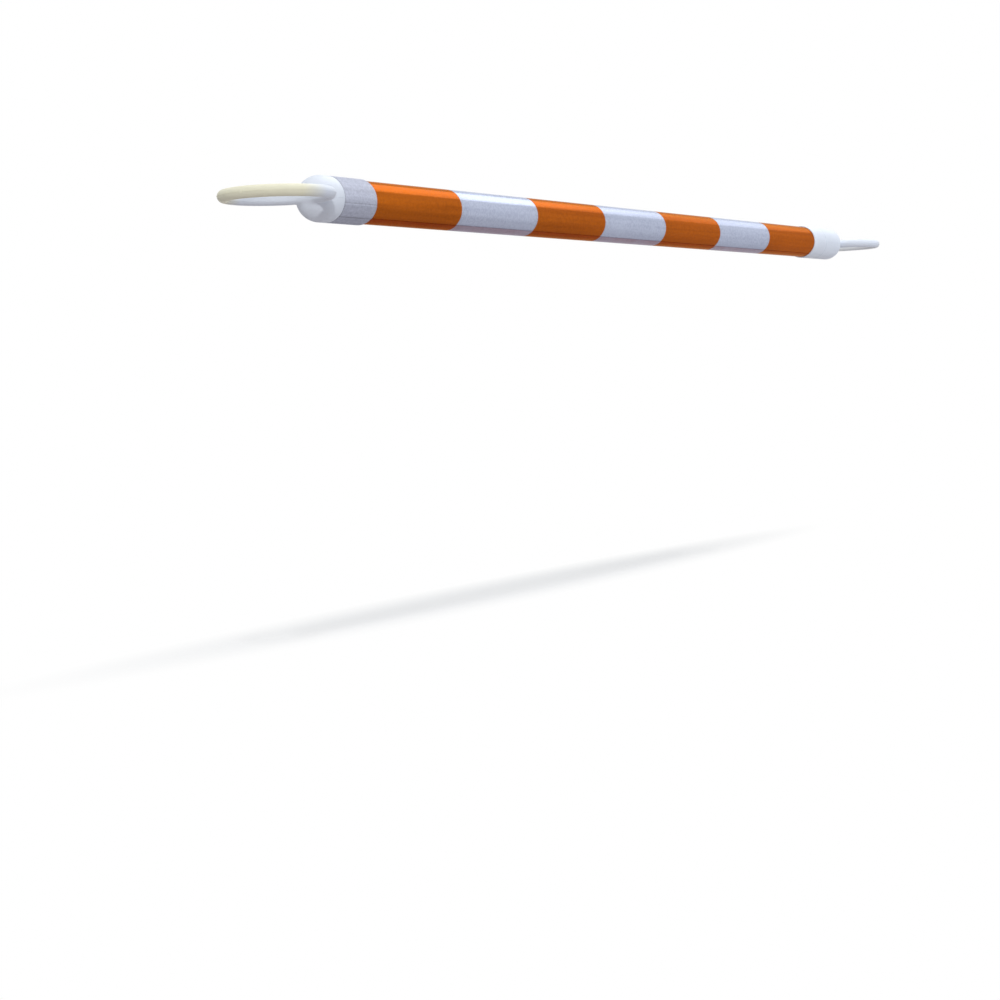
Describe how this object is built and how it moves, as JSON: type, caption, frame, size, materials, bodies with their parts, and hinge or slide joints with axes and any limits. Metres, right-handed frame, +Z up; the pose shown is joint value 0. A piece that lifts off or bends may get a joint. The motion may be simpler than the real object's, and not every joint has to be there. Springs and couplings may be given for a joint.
{
  "type": "cone bar",
  "caption": "Telescoping barrier bar in orange and white reflective bands, with a moulded ring on each domed end cap; the inner tube slides out and turns in the outer tube.",
  "frame": {"origin": "centre of the bore of the ring on the outer tube", "axes": "+X along the bar towards the sliding ring, +Z up along the bore of the ring, +Y across the bar"},
  "size_m": [1.4522, 0.1052, 0.043],
  "materials": {
    "cap_plastic": "white moulded plastic, satin",
    "tube_plastic": "white extruded tube, satin",
    "orange_sheeting": "orange reflective sheeting, glossy film",
    "white_sheeting": "white reflective sheeting, glossy film",
    "guide_plastic": "dark grey nylon",
    "grip_rubber": "black rubber"
  },
  "bodies": {
    "outer": {"outer_tube": "tube_plastic", "outer_ring_cap": "cap_plastic", "sleeve_band": "white_sheeting", "mouth_collar": "cap_plastic", "grip_ring": "grip_rubber", "orange_band_1": "orange_sheeting", "white_band_1": "white_sheeting", "orange_band_2": "orange_sheeting", "white_band_2": "white_sheeting", "orange_band_3": "orange_sheeting", "white_band_3": "white_sheeting", "orange_band_4": "orange_sheeting"},
    "guide": {"guide_bush": "guide_plastic"},
    "inner": {"inner_tube": "tube_plastic", "inner_ring_cap": "cap_plastic", "end_plug": "guide_plastic", "stop_ring": "guide_plastic", "inner_orange_band_1": "orange_sheeting", "inner_white_band_1": "white_sheeting", "inner_orange_band_2": "orange_sheeting", "inner_white_band_2": "white_sheeting", "inner_orange_band_3": "orange_sheeting", "inner_white_band_3": "white_sheeting"}
  },
  "joints": [
    {"name": "extend", "type": "slide", "parent": "outer", "child": "guide", "axis": [1, 0, 0], "range_m": [0, 0.9055]},
    {"name": "ring_turn", "type": "hinge", "parent": "guide", "child": "inner", "pos_m": [0.0966, 0, 0], "axis": [1, 0, 0], "continuous": true}
  ]
}
